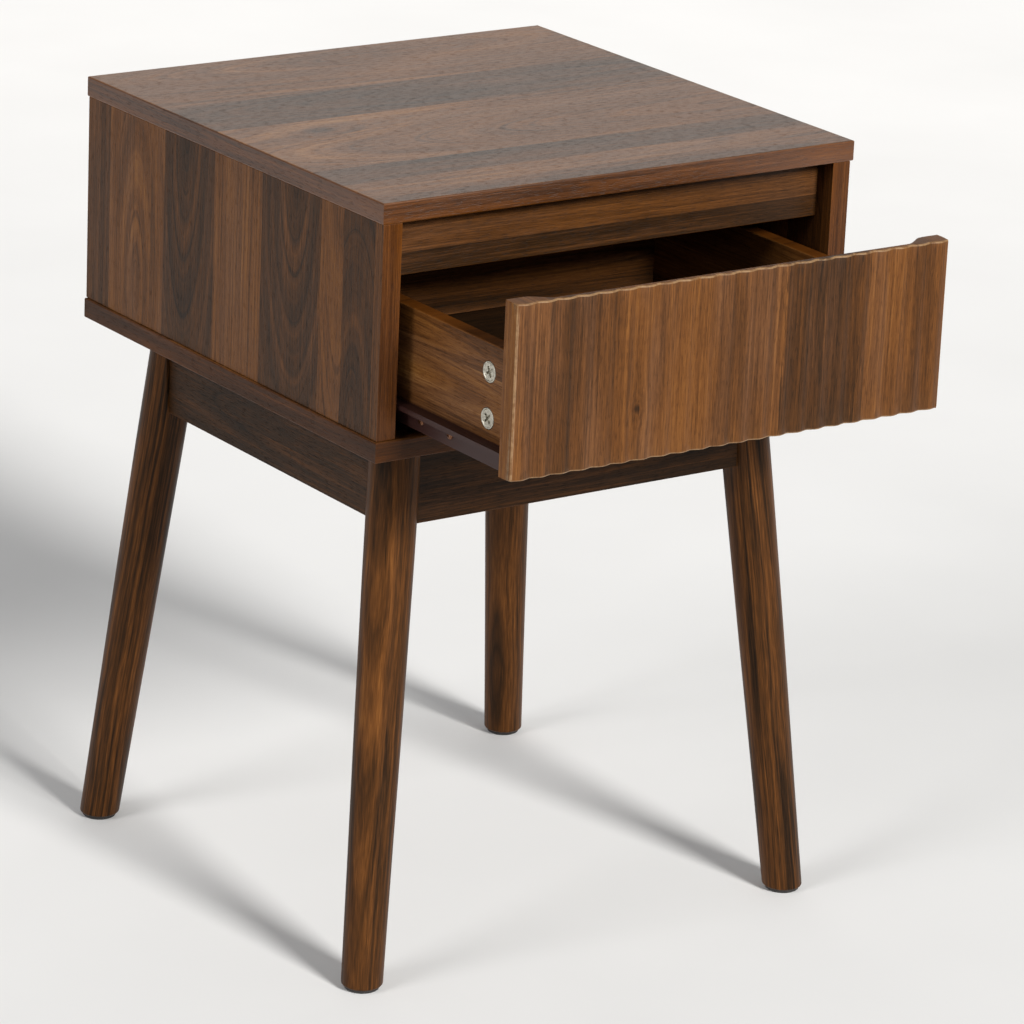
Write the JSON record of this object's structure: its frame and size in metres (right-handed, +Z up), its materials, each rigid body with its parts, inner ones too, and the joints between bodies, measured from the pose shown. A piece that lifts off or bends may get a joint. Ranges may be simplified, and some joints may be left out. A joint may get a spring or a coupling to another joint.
{
  "type": "bedside nightstand",
  "caption": "Square walnut-look nightstand: one fluted-front drawer on roller runners with a hidden finger groove, thin slab top and bottom, splayed tapered round legs.",
  "frame": {"origin": "on the floor, under the middle of the box round the whole part with its drawer part-open", "axes": "+X to the right seen from the front, +Y to the back (the drawer opens towards -Y), +Z up"},
  "size_m": [0.4044, 0.5322, 0.578],
  "materials": {
    "top_laminate": "satin walnut-grain laminate, grain left to right",
    "case_laminate": "satin walnut-grain laminate with matching edge strip",
    "back_laminate": "printed walnut sheet",
    "base_wood": "dark walnut stain, satin lacquer",
    "glide_plastic": "matt black",
    "zinc_steel": "zinc plated",
    "drawer_front_laminate": "satin walnut, vertical grain, softened pale edges",
    "drawer_box_laminate": "satin walnut-grain foil",
    "drawer_base_sheet": "matt printed hardboard",
    "brown_steel": "brown epoxy coat, semi-gloss",
    "roller_nylon": "moulded nylon",
    "copper_screw": "copper-coloured plating"
  },
  "bodies": {
    "cabinet": {"top_panel": "top_laminate", "bottom_panel": "case_laminate", "side_panel_left": "case_laminate", "side_panel_right": "case_laminate", "front_rail": "case_laminate", "back_panel": "back_laminate", "leg_front_left": "base_wood", "leg_front_right": "base_wood", "leg_rear_left": "base_wood", "leg_rear_right": "base_wood", "apron_front": "base_wood", "apron_rear": "base_wood", "apron_left": "base_wood", "apron_right": "base_wood", "foot_glide_front_left": "glide_plastic", "foot_glide_front_right": "glide_plastic", "foot_glide_rear_left": "glide_plastic", "foot_glide_rear_right": "glide_plastic", "corner_bracket_front_left": "zinc_steel", "corner_bracket_front_right": "zinc_steel", "corner_bracket_rear_left": "zinc_steel", "corner_bracket_rear_right": "zinc_steel", "corner_bolt_front_left": "zinc_steel", "corner_bolt_front_right": "zinc_steel", "corner_bolt_rear_left": "zinc_steel", "corner_bolt_rear_right": "zinc_steel", "runner_cabinet_left": "brown_steel", "runner_cabinet_right": "brown_steel", "cabinet_screw_left_front": "copper_screw", "cabinet_screw_left_rear": "copper_screw", "cabinet_screw_right_front": "copper_screw", "cabinet_screw_right_rear": "copper_screw"},
    "drawer": {"cam_lock_left_upper": "zinc_steel", "cam_lock_left_lower": "zinc_steel", "cam_lock_right_upper": "zinc_steel", "cam_lock_right_lower": "zinc_steel", "box_screw_left_upper": "zinc_steel", "box_screw_left_lower": "zinc_steel", "box_screw_right_upper": "zinc_steel", "box_screw_right_lower": "zinc_steel", "drawer_front": "drawer_front_laminate", "drawer_side_left": "drawer_box_laminate", "drawer_side_right": "drawer_box_laminate", "drawer_back": "drawer_box_laminate", "drawer_bottom": "drawer_base_sheet", "runner_drawer_left": "brown_steel", "runner_drawer_right": "brown_steel", "drawer_screw_left_front": "copper_screw", "drawer_screw_left_rear": "copper_screw", "drawer_screw_right_front": "copper_screw", "drawer_screw_right_rear": "copper_screw"},
    "front_roller_left": {"roller_front_left": "roller_nylon"},
    "front_roller_right": {"roller_front_right": "roller_nylon"},
    "rear_roller_left": {"roller_rear_left": "roller_nylon"},
    "rear_roller_right": {"roller_rear_right": "roller_nylon"}
  },
  "joints": [
    {"name": "drawer_slide", "type": "slide", "parent": "cabinet", "child": "drawer", "axis": [0, -1, 0], "range_m": [-0.137, 0.088]},
    {"name": "front_roller_left_spin", "type": "hinge", "parent": "cabinet", "child": "front_roller_left", "pos_m": [-0.17535, -0.09721, 0.424], "axis": [1, 0, 0], "range_deg": [-924, 594]},
    {"name": "front_roller_right_spin", "type": "hinge", "parent": "cabinet", "child": "front_roller_right", "pos_m": [0.17535, -0.09721, 0.424], "axis": [1, 0, 0], "range_deg": [-924, 594]},
    {"name": "rear_roller_left_spin", "type": "hinge", "parent": "drawer", "child": "rear_roller_left", "pos_m": [-0.17745, 0.04429, 0.4229], "axis": [1, 0, 0], "range_deg": [-924, 594]},
    {"name": "rear_roller_right_spin", "type": "hinge", "parent": "drawer", "child": "rear_roller_right", "pos_m": [0.17745, 0.04429, 0.4229], "axis": [1, 0, 0], "range_deg": [-924, 594]}
  ],
  "couplings": [
    {"joint": "front_roller_left_spin", "follows": "drawer_slide", "rad_per_m": 117.65},
    {"joint": "front_roller_right_spin", "follows": "drawer_slide", "rad_per_m": 117.65},
    {"joint": "rear_roller_left_spin", "follows": "drawer_slide", "rad_per_m": 117.65},
    {"joint": "rear_roller_right_spin", "follows": "drawer_slide", "rad_per_m": 117.65}
  ]
}
